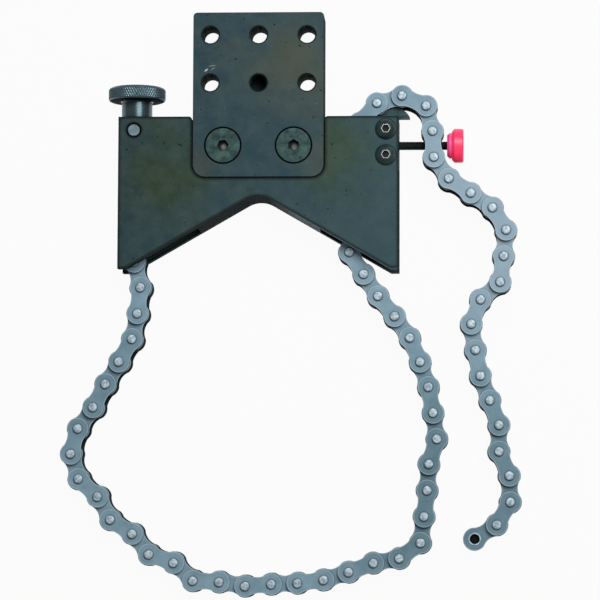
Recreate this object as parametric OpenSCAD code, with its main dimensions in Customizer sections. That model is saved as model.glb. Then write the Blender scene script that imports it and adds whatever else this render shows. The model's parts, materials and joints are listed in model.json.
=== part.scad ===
// Locking chain clamp: a slotted V block, a roller chain drawn tight by a knurled nut and
// locked by a red-headed screw through one of its links, and an adapter plate let into the block.
// X runs across the block, Y up the plate, Z out of the front face. The origin is the V's
// theoretical apex on the back face, which is the face the clamp lies on.

/* [Block] */
// Width of the block across both feet
block_w = 136; // [124:1:160]
// Thickness of the block from its back face to its front face
block_t = 30; // [28:1:40]
// Height of the block's top above the V's apex
block_top = 37; // [34:1:50]
// Slope of each V face
v_slope = 30; // [20:1:35]
// Width of the flat foot at each lower corner
foot_w = 4; // [2:0.5:8]
// Radius of the V's apex
v_round = 12; // [4:1:16]
// Width of the milled chain slots, across the block's thickness
slot_w = 18; // [17.6:0.1:20]

/* [Adapter plate] */
// Width of the plate
plate_w = 63.6; // [56:0.2:66]
// Height of the plate's top above the block's top
plate_rise = 51; // [44:1:70]
// Depth of the plate's pocket below the block's top
plate_seat = 29.5; // [27:0.5:32]
// Thickness of the plate, which is flush with the front face
plate_t = 18; // [14:1:20]
// Radius of the plate's two lower corners
plate_round = 6; // [3:0.5:8]
// Radius of the plate's two upper corners
plate_corner = 2; // [1:0.5:4]
// Gap between the plate and its pocket
plate_gap = 0.45; // [0.1:0.05:0.5]
// Diameter of the six fixing holes
fix_d = 8.6; // [6:0.1:10]
// Distance between neighbouring fixing holes
fix_pitch = 23.5; // [20:0.5:26]
// Distance of the upper row of fixing holes below the plate's top
fix_drop = 11; // [9:0.5:16]
// Depth of the blind middle hole in the lower row
blind_depth = 14; // [8:1:16]
// Distance between the two countersunk screws
csk_pitch = 34.3; // [30:0.1:40]
// Distance of the countersunk screws below the block's top
csk_drop = 14.1; // [11:0.1:18]
// Head diameter of the countersunk screws
csk_head_d = 17; // [14:0.1:18]
// Thread diameter of the countersunk screws
csk_d = 8; // [6:0.5:8]
// Length of the countersunk screws
csk_l = 25; // [22:1:27]
// Width across flats of their hexagon sockets
csk_key = 5; // [4:0.5:6]

/* [Chain] */
// Pitch of the chain
pitch = 12.7; // [12.4:0.1:14]
// Diameter of the rollers
roller_d = 7.92; // [7.5:0.02:8.1]
// Diameter of the pins
pin_d = 4; // [3.6:0.1:4.2]
// Outside diameter of the bushes
bush_d = 5.6; // [5.4:0.1:6]
// Height of the outer link plates
outer_h = 10.4; // [9.6:0.1:11]
// Height of the inner link plates
inner_h = 11.2; // [10:0.1:11.6]
// Height of a link plate at its waist
waist_h = 7.6; // [6:0.1:8.4]
// Thickness of a link plate
link_t = 1.5; // [1:0.1:1.6]
// Width between the inner plates
inner_gap = 7.8; // [7.4:0.1:8.2]
// Side play between an inner plate and the outer plate beside it
side_play = 0.5; // [0.5:0.05:0.7]
// Length of a pin past its outer plate
pin_proud = 1.1; // [0.7:0.1:1.2]

/* [Tensioner] */
// Distance of the draw rod's axis from the block's left end
rod_inset = 7.5; // [7.4:0.1:10]
// Diameter of the threaded draw rod
rod_d = 8; // [6:0.5:8]
// Thread pitch of the draw rod
rod_pitch = 1.25; // [1:0.25:1.5]
// Distance of the trunnion's axis below the block's top
trunnion_drop = 6.5; // [5.8:0.1:8]
// Height of the trunnion's flat top above the block's top
trunnion_proud = 0.7; // [0.4:0.1:1.4]
// Radius of the trunnion's round underside
trunnion_r = 7.2; // [6.6:0.1:7.3]
// Diameter of the two trunnion pins
dowel_d = 6; // [4:0.5:6]
// Distance of the eye of the draw rod below the block's top
eye_drop = 32; // [30:0.5:36]
// Diameter of the nut's neck
neck_d = 15; // [12:0.5:17]
// Height of the nut's neck
neck_h = 8.6; // [6:0.2:14]
// Diameter of the nut's knurled head
knob_d = 28; // [24:0.5:34]
// Thickness of the nut's knurled head
knob_h = 6.8; // [5:0.2:10]

/* [Chain lock] */
// Width of the guide that fills the outer end of the right slot
guide_w = 11; // [10:0.5:14]
// Depth of the guide below the block's top
guide_h = 25; // [24:0.5:32]
// Distance of the lock screw's axis below the block's top
lock_drop = 12.7; // [12:0.1:14]
// Diameter of the lock screw
lock_d = 4.2; // [3.6:0.1:4.4]
// Distance between the two button-head screws
button_pitch = 12.6; // [12:0.1:14]
// Head diameter of the button-head screws
button_d = 10.5; // [9:0.5:10.5]
// Thread diameter of the button-head screws
button_thread = 6; // [5:0.5:6]
// Diameter of the red knob's collar
collar_d = 12.5; // [9:0.5:13]
// Thickness of the red knob's collar
collar_h = 2.4; // [1.6:0.2:4]
// Diameter of the red knob's head
lock_head_d = 16.6; // [14:0.2:17.2]
// Thickness of the red knob's head
lock_head_h = 5.6; // [4:0.2:8]

/* [Hidden] */
$fn = 64;
// Clearances: a pressed pin, a turning pin, pieces that pass, and the chain beside a wall
press = 0.01;
running = 0.06;
clear = 0.3;
chain_room = 2.4;
over = 1;

// Block
foot_x = block_w / 2 - foot_w;
block_low = -foot_x * tan(v_slope);
mid_z = block_t / 2;
wall_t = (block_t - slot_w) / 2;
mouth_chamfer = 0.35;
pocket_ease = 1.5;
csk_gap = 0.45;
csk_step = 0.8;
csk_run_out = 2;
// Where tightening left the two hexagon sockets, in degrees
csk_turns = [6, 30];

// Chain, across its width
plate_in = inner_gap / 2;
plate_out = plate_in + link_t + side_play;
pin_half = plate_out + link_t + pin_proud;
pin_bevel = 0.4;
neck_ease = 1.15;

// Tensioner
rod_x = rod_inset - block_w / 2;
trunnion_y = block_top - trunnion_drop;
eye_y = block_top - eye_drop;
trunnion_top = block_top + trunnion_proud;
nut_y = trunnion_top + running;
nut_grip = 7;
nut_bevel = 0.8;
eye_h = 8;
eye_t = 2 * (plate_in + link_t);
dowel_land = 1.2;
dowel_in = rod_d / 2 + dowel_land;
dowel_bevel = 0.4;
dowel_ring = 0.85;
dowel_under = 0.1;

// Chain lock
guide_x = block_w / 2 - guide_w;
lock_y = block_top - lock_drop;
button_shift = -0.7;
button_x = guide_x + guide_w / 2 + button_shift;
button_floor = 2;
button_l = block_t - wall_t - button_floor;
button_key = 4;
head_ratio = 0.55;
socket_ratio = 0.55;
lock_grip = 5;
lock_room = 0.8;
knob_bevel = 0.6;
collar_bevel = 1.2;
head_bevel = 1.2;

// Headings of the links in degrees from +X, as the chain lies.
// The run through the right slot is straight, and the next five go over the guide's nose.
slot_heading = 85.5;
slot_links = 5;
nose_headings = [49, 16, -23, -76, -87];
// From the slot's mouth clockwise round the loop to the left foot
loop_headings = [
    303, 303, 309, 305, 293, 288, 280, 278, 252, 266, 263, 262,
    216, 190, 200, 197, 187, 182, 184, 171, 177, 137, 161, 129,
    147, 119, 137, 107, 74, 54, 62, 58, 60, 78, 83, 103
];
// Up the left slot to the eye of the draw rod
left_headings = [90, 90, 90];
// From the locked link to the free end
tail_headings = [-55, -34, -34, -59, -95, -98, -138, -111, -81, -79, -69, -70, -90, -67, -88, -121, -147];

function heading(a) = [cos(a), sin(a)];
function sum_to(v, n, at) = at == n ? [0, 0] : v[at] + sum_to(v, n, at + 1);
// Pin positions along links of the given headings, starting at a pin
function pins_from(start, headings, at = 0) =
    at == len(headings) ? [start]
    : concat([start], pins_from(start + pitch * heading(headings[at]), headings, at + 1));

// The slot run stands beside the guide, and the locked link is centred on the lock screw's axis
slot_top_x = guide_x - inner_h / 2 - chain_room;
nose_span = pitch * sum_to([for (a = nose_headings) heading(a)], len(nose_headings), 0);
lock_link = heading(nose_headings[len(nose_headings) - 1]);
slot_top = [slot_top_x, lock_y + pitch / 2 * lock_link[1] - nose_span[1]];
mouth = slot_top - pitch * slot_links * heading(slot_heading);
slot_pins = pins_from(mouth, [for (i = [1:slot_links]) slot_heading]);
nose_pins = pins_from(slot_top, nose_headings);
tail_pins = pins_from(nose_pins[len(nose_headings)], tail_headings);
slot_end = mouth[0] - inner_h / 2 - chain_room;
// Below this height the slot's inner end leans in, so that the chain can close on a thin shaft
slot_lean = 12.6;
lean_y = 12;
collar_x = nose_pins[len(nose_headings)][0] + inner_h / 2 + lock_room;

// The guide's nose is round, and its top stands just under the first roller over it
nose_lip = 0.6;
nose_gap = 0.9;
nose_t = inner_gap - 2 * side_play;
nose_in = 8.8;
nose_drop = 2.4;
nose_at = [guide_x + nose_in, block_top - nose_drop];
nose_r = norm(nose_pins[1] - nose_at) - roller_d / 2 - nose_gap;

// The loop keeps its drape, turned and curled a little so that it ends under the draw rod's eye
left_foot = [rod_x, eye_y] - pitch * len(left_headings) * heading(90);
loop_n = len(loop_headings);
function draped(fit) =
    [for (i = [0:loop_n - 1]) loop_headings[i] + fit[0] + fit[1] * (i / (loop_n - 1) - 0.5)];
function turn_rate(headings, weights) =
    PI / 180 * pitch * sum_to(
        [for (i = [0:loop_n - 1]) weights[i] * heading(headings[i] + 90)], loop_n, 0);
function closed(fit, rounds) =
    rounds <= 0 ? fit
    : let (
        a = draped(fit),
        miss = left_foot - pins_from(mouth, a)[loop_n],
        u = turn_rate(a, [for (i = [1:loop_n]) 1]),
        v = turn_rate(a, [for (i = [0:loop_n - 1]) i / (loop_n - 1) - 0.5]),
        d = u[0] * v[1] - u[1] * v[0]
    )
    closed(fit + [miss[0] * v[1] - miss[1] * v[0], u[0] * miss[1] - u[1] * miss[0]] / d, rounds - 1);
fit_rounds = 8;
loop_turns = concat(draped(closed([0, 0], fit_rounds)), left_headings);
loop_pins = pins_from(mouth, loop_turns);

// Outside the block each link sags by its side play until the chain lies on the bench
hover = mid_z - pin_half;
loop_step = hover / (loop_n / 2);
tail_step = hover / len(tail_headings);
function loop_sag(i) = loop_step * max(0, min(i, loop_n - i));
function tail_sag(i) = tail_step * i;

loop_names = [for (i = [1:ceil(len(loop_turns) / 2)]) str("loop_", i < 10 ? "0" : "", i)];
tail_names = [for (i = [1:len(tail_headings)]) str("tail_", i < 10 ? "0" : "", i)];

// General shapes
module bevelled(d, h, c) {
    rotate_extrude()
        polygon([[0, 0], [d / 2 - c, 0], [d / 2, c], [d / 2, h - c], [d / 2 - c, h], [0, h]]);
}
module hole(d, h, c) {
    // A drilled hole down from z = 0, with a chamfered mouth
    rotate_extrude()
        polygon([[0, -h], [d / 2, -h], [d / 2, -c], [d / 2 + c, 0], [d / 2 + c, over], [0, over]]);
}

// Block: a V profile, slotted from both ends for the chain and pocketed for the plate
module v_notch() {
    apex = v_round / cos(v_slope);
    tangent = v_round * [sin(v_slope), cos(v_slope)];
    low = block_low - over;
    half = foot_x + over / tan(v_slope);
    translate([0, -apex]) circle(v_round);
    polygon([
        [-tangent[0], tangent[1] - apex], [tangent[0], tangent[1] - apex], [half, low], [-half, low]
    ]);
}
module block_profile() {
    difference() {
        translate([-block_w / 2, block_low]) square([block_w, block_top - block_low]);
        v_notch();
    }
}
module end_slot() {
    low = block_low - over;
    high = block_top + over;
    translate([0, 0, wall_t]) linear_extrude(slot_w)
        polygon([
            [slot_end, high], [slot_end, lean_y], [slot_end - (lean_y - low) * tan(slot_lean), low],
            [block_w, low], [block_w, high]
        ]);
}
module plate_outline(grow) {
    half = plate_w / 2 + grow;
    low = block_top - plate_seat - grow;
    high = block_top + plate_rise;
    r = plate_round + grow;
    difference() {
        union() {
            translate([-half, low + r]) square([2 * half, high - low - r]);
            translate([r - half, low]) square([2 * (half - r), 2 * r]);
            for (side = [-1, 1])
                translate([side * (half - r), low + r]) circle(r);
        }
        for (side = [0, 1])
            mirror([side, 0])
                translate([half - plate_corner, high - plate_corner])
                    difference() {
                        square(plate_corner + over);
                        circle(plate_corner);
                    }
    }
}
module pocket_corners() {
    // Rounds the block's two corners where the pocket opens at its top
    for (side = [0, 1])
        mirror([side, 0])
            translate([plate_w / 2 + plate_gap, block_top - pocket_ease])
                difference() {
                    translate([-over, 0]) square([pocket_ease + over, pocket_ease + over]);
                    translate([pocket_ease, 0]) circle(pocket_ease);
                }
}
module at_csk(i) {
    translate([(i - 0.5) * csk_pitch, block_top - csk_drop, block_t]) children();
}
module at_buttons() {
    for (side = [-1, 1])
        translate([button_x, lock_y + side * button_pitch / 2, block_t]) children();
}
module v_block() {
    color("#33393b")
        difference() {
            linear_extrude(block_t) block_profile();
            end_slot();
            mirror([1, 0, 0]) end_slot();
            translate([0, 0, block_t - plate_t]) linear_extrude(plate_t + over) {
                plate_outline(plate_gap);
                pocket_corners();
            }
            for (i = [0, 1])
                at_csk(i) translate([0, 0, -csk_l - csk_run_out]) cylinder(d = csk_d + 2 * press, h = csk_l);
            at_buttons() hole(button_thread + 2 * clear, wall_t + over, mouth_chamfer);
            translate([rod_x, trunnion_y, block_t]) hole(dowel_d + 2 * press, block_t / 2, dowel_ring);
            translate([rod_x, trunnion_y, 0]) mirror([0, 0, 1])
                hole(dowel_d + 2 * press, block_t / 2, dowel_ring);
        }
}

// Plate: six fixing holes, of which the middle one of the lower row is blind, and two countersinks
module adapter_plate() {
    color("#3c4546")
        difference() {
            translate([0, 0, block_t - plate_t]) linear_extrude(plate_t) plate_outline(0);
            for (column = [-1:1], row = [0, 1])
                translate([column * fix_pitch, block_top + plate_rise - fix_drop - row * fix_pitch, block_t])
                    hole(fix_d, column == 0 && row == 1 ? blind_depth : plate_t + over, mouth_chamfer);
            for (i = [0, 1])
                at_csk(i) csk_seat();
        }
}
module csk_seat() {
    // The countersink follows the screw's cone, and a shallow step leaves a ring round its rim
    rim = csk_head_d / 2;
    shank = csk_d / 2 + clear;
    low = -plate_t - over;
    rotate_extrude()
        polygon([
            [0, low], [shank, low], [shank, shank - rim - running], [rim + running - csk_step, -csk_step],
            [rim + csk_gap, -csk_step], [rim + csk_gap, over], [0, over]
        ]);
}
module csk_form() {
    rim = csk_head_d / 2;
    shank = csk_d / 2;
    rotate_extrude()
        polygon([[0, -csk_l], [shank, -csk_l], [shank, shank - rim], [rim, 0], [0, 0]]);
}
module plate_screws() {
    color("#30383b")
        for (i = [0, 1])
            at_csk(i) difference() {
                csk_form();
                rotate(csk_turns[i]) hex_socket(csk_key, socket_ratio * csk_key, 0);
            }
}
module hex_socket(key, depth, top) {
    translate([0, 0, top - depth]) cylinder(d = key / cos(30), h = depth + over, $fn = 6);
}

// Chain guide: fills the outer end of the right slot, with a round nose that the rollers ride over
module nose_outline() {
    difference() {
        translate(nose_at) circle(nose_r);
        translate([block_w / 2, nose_at[1] - 2 * nose_r])
            square([2 * nose_r, block_top + nose_lip - nose_at[1] + 2 * nose_r]);
        translate([guide_x - 2 * nose_r, nose_at[1] - 2 * nose_r]) square([2 * nose_r, 4 * nose_r]);
    }
}
module along_x(x, y) {
    translate([x, y, mid_z]) rotate([0, 90, 0]) children();
}
module chain_guide() {
    color("#56646b")
        difference() {
            union() {
                translate([guide_x, block_top - guide_h, wall_t + clear])
                    cube([guide_w, guide_h - clear, slot_w - 2 * clear]);
                translate([0, 0, mid_z - nose_t / 2]) linear_extrude(nose_t) nose_outline();
            }
            along_x(guide_x - over, lock_y) cylinder(d = lock_d + 2 * running, h = guide_w + 2 * over);
            at_buttons() translate([0, 0, -button_l - over])
                cylinder(d = button_thread + 2 * press, h = button_l + over);
        }
}
module guide_screws() {
    cap_h = head_ratio * button_thread;
    cap_r = (button_d * button_d / 4 + cap_h * cap_h) / (2 * cap_h);
    color("#2c3234")
        at_buttons() difference() {
            union() {
                rotate_extrude() intersection() {
                    translate([0, cap_h - cap_r]) circle(cap_r);
                    square([button_d, button_d]);
                }
                translate([0, 0, -button_l]) cylinder(d = button_thread, h = button_l + over);
            }
            hex_socket(button_key, socket_ratio * button_key, cap_h);
        }
}

// Tensioner: a trunnion on two pins in the walls, a knurled nut on top of it and the draw rod
module along_y(x, y) {
    translate([x, y, mid_z]) rotate([-90, 0, 0]) children();
}
module trunnion_pins() {
    color("#c9ced2")
        for (side = [0, 1])
            translate([rod_x, trunnion_y, mid_z]) mirror([0, 0, side])
                translate([0, 0, dowel_in]) bevelled(dowel_d, mid_z - dowel_in - dowel_under, dowel_bevel);
}
module trunnion() {
    half = slot_w / 2 - clear;
    color("#4a5459")
        difference() {
            translate([rod_x, trunnion_y, mid_z - half]) {
                cylinder(r = trunnion_r, h = 2 * half);
                translate([-trunnion_r, 0, 0]) cube([2 * trunnion_r, trunnion_top - trunnion_y, 2 * half]);
            }
            translate([rod_x - trunnion_r - over, trunnion_top, 0])
                cube([2 * (trunnion_r + over), trunnion_r, block_t]);
            along_y(rod_x, trunnion_y - 2 * trunnion_r) cylinder(d = rod_d + 2 * clear, h = 4 * trunnion_r);
            for (side = [0, 1])
                translate([rod_x, trunnion_y, mid_z]) mirror([0, 0, side])
                    translate([0, 0, dowel_in - clear]) cylinder(d = dowel_d + 2 * running, h = slot_w);
        }
}
module tension_nut() {
    bore = rod_d / 2 + running;
    neck = neck_d / 2;
    rim = knob_d / 2;
    top = neck_h + knob_h;
    color("#6b777e")
        along_y(rod_x, nut_y) rotate_extrude()
            polygon([
                [bore + nut_bevel, 0], [neck - nut_bevel, 0], [neck, nut_bevel], [neck, neck_h],
                [rim - nut_bevel, neck_h], [rim, neck_h + nut_bevel], [rim, top - nut_bevel],
                [rim - nut_bevel, top], [bore + nut_bevel, top], [bore, top - nut_bevel], [bore, nut_bevel]
            ]);
}
module draw_rod() {
    eye_r = inner_h / 2;
    color("#8b979e")
        difference() {
            union() {
                along_y(rod_x, eye_y) bevelled(rod_d, nut_y + nut_grip - eye_y, rod_pitch / 2);
                translate([rod_x, eye_y, mid_z - eye_t / 2]) {
                    cylinder(r = eye_r, h = eye_t);
                    translate([-eye_r, 0, 0]) cube([2 * eye_r, eye_h, eye_t]);
                }
            }
            translate([rod_x, eye_y, 0]) cylinder(d = pin_d + 2 * running, h = block_t);
        }
}

// Lock screw and its red knob
module lock_screw() {
    from = guide_x + clear;
    color("#23272a")
        along_x(from, lock_y) bevelled(lock_d, collar_x + lock_grip - from, lock_d / 8);
}
module lock_knob() {
    bore = lock_d / 2 + running;
    collar = collar_d / 2;
    rim = lock_head_d / 2;
    top = collar_h + lock_head_h;
    deep = lock_grip + clear;
    color("#ff3c66")
        along_x(collar_x, lock_y) rotate_extrude()
            polygon([
                [bore, 0], [collar - collar_bevel, 0], [collar, collar_bevel], [collar, collar_h],
                [rim - head_bevel, collar_h], [rim, collar_h + head_bevel], [rim, top - knob_bevel],
                [rim - knob_bevel, top], [0, top], [0, deep], [bore, deep]
            ]);
}

// Chain links along +X from their first pin
module link_outline(h) {
    r = h / 2;
    waist = waist_h / 2;
    half = pitch / 2;
    neck_r = neck_ease * (half * half + waist * waist - r * r) / (2 * (r - waist));
    apart = norm([half, waist + neck_r]);
    shoulder = (apart * apart + r * r - neck_r * neck_r) / (2 * apart) * (waist + neck_r) / apart;
    difference() {
        union() {
            for (x = [0, pitch])
                translate([x, 0]) circle(r);
            translate([0, -shoulder]) square([pitch, 2 * shoulder]);
        }
        for (side = [-1, 1])
            translate([half, side * (waist + neck_r)]) circle(neck_r);
    }
}
module link_plates(h, z) {
    for (side = [0, 1])
        mirror([0, 0, side]) translate([0, 0, z]) linear_extrude(link_t) link_outline(h);
}
module outer_link(last_pin = true) {
    link_plates(outer_h, plate_out);
    translate([0, 0, -pin_half]) bevelled(pin_d, 2 * pin_half, pin_bevel);
    translate([pitch, 0, 0])
        if (last_pin)
            translate([0, 0, -pin_half]) bevelled(pin_d, 2 * pin_half, pin_bevel);
        else
            for (side = [0, 1])
                mirror([0, 0, side]) translate([0, 0, plate_out])
                    bevelled(pin_d, pin_half - plate_out, pin_bevel);
}
module inner_link() {
    half = plate_in + link_t;
    difference() {
        union() {
            link_plates(inner_h, plate_in);
            for (x = [0, pitch])
                translate([x, 0, -half]) cylinder(d = bush_d, h = 2 * half);
        }
        for (x = [0, pitch])
            translate([x, 0, -half - over]) cylinder(d = pin_d + 2 * running, h = 2 * (half + over));
    }
    for (x = [0, pitch])
        translate([x, 0, running - plate_in]) difference() {
            cylinder(d = roller_d, h = 2 * (plate_in - running));
            translate([0, 0, -over]) cylinder(d = bush_d + 2 * running, h = 2 * (plate_in + over));
        }
}
module chain_link(pin, turn, sag, outer, last_pin = true) {
    color(outer ? "#7d929f" : "#728691")
        translate([pin[0], pin[1], mid_z - sag]) rotate(turn)
            if (outer)
                outer_link(last_pin);
            else
                inner_link();
}
module slot_run() {
    for (i = [0:slot_links - 1])
        chain_link(slot_pins[i], slot_heading, 0, i % 2 == 1);
}
module nose_run() {
    for (i = [0:len(nose_headings) - 1])
        chain_link(nose_pins[i], nose_headings[i], 0, i % 2 == 0);
}
// The loop is carried in pairs, an outer link and the inner link after it. The pin in the draw
// rod's eye is left as two rivet ends, where the closed loop is opened.
module loop_pair(n) {
    last = len(loop_turns) - 1;
    for (i = [2 * n - 2:min(2 * n - 1, last)])
        chain_link(loop_pins[i], loop_turns[i], loop_sag(i), i % 2 == 0, i < last);
}
module tail_link(n) {
    chain_link(tail_pins[n - 1], tail_headings[n - 1], tail_sag(n), n % 2 == 0);
}

v_block();
adapter_plate();
plate_screws();
chain_guide();
guide_screws();
trunnion_pins();
trunnion();
tension_nut();
draw_rod();
lock_screw();
lock_knob();
slot_run();
nose_run();
for (n = [1:len(loop_names)])
    loop_pair(n);
for (n = [1:len(tail_names)])
    tail_link(n);
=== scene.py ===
import json
import math

import bmesh
import bpy
import numpy as np
from mathutils import Matrix, Vector


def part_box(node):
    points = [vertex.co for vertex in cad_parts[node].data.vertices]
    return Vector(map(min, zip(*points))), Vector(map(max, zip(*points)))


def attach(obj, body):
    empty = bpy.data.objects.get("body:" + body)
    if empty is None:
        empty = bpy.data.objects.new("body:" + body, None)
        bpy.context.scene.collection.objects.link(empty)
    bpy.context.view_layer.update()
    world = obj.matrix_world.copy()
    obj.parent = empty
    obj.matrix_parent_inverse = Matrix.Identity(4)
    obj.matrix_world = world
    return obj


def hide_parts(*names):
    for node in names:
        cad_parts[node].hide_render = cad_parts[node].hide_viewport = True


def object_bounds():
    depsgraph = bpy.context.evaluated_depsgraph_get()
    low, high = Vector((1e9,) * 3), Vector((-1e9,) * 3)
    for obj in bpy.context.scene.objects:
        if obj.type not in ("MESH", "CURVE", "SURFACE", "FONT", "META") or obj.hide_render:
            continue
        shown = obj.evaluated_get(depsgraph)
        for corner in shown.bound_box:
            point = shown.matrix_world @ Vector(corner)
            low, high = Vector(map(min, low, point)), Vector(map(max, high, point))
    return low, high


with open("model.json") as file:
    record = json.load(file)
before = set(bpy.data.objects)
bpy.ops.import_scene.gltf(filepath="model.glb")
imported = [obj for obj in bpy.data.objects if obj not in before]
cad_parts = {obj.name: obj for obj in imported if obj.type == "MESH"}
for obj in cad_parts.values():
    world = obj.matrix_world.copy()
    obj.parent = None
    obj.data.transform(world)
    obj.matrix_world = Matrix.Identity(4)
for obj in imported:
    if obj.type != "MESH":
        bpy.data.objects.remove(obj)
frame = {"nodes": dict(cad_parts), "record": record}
cad_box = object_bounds()


# V block.
# Milled from tool steel, slotted from both ends for the chain and pocketed for the plate, then
# blackened in a hot oxide bath. The bath leaves a thin satin skin that clouds from blue to green.

def colour(code):
    """sRGB hex to linear RGBA: the lower part of the curve is a line, the rest a power of 2.4."""
    srgb = np.array([int(code[i:i + 2], 16) for i in (1, 3, 5)]) / 255
    rgb = np.where(srgb <= 0.04045, srgb / 12.92, ((srgb + 0.055) / 1.055) ** 2.4)
    return (*rgb.tolist(), 1.0)


def per_mm(size):
    """Scale of a pattern on Object coordinates, which are metres, for marks of that size in mm."""
    return 1000 / size


def add(tree, kind, settings, inputs):
    """Adds one shader node. Settings are its own properties; an input is a value or a (node, output) link."""
    made = tree.nodes.new(kind)
    for key, value in settings.items():
        setattr(made, key, value)
    for key, value in inputs.items():
        if isinstance(value, tuple) and isinstance(value[0], bpy.types.Node):
            tree.links.new(value[0].outputs[value[1]], made.inputs[key])
        else:
            made.inputs[key].default_value = value
    return made


def empty_material(name):
    """A material with only a Principled shader at its output, and Object coordinates for its patterns."""
    material = bpy.data.materials.new(name)
    material.use_nodes = True
    tree = material.node_tree
    return material, tree, tree.nodes["Principled BSDF"], add(tree, "ShaderNodeTexCoord", {}, {})


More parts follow.
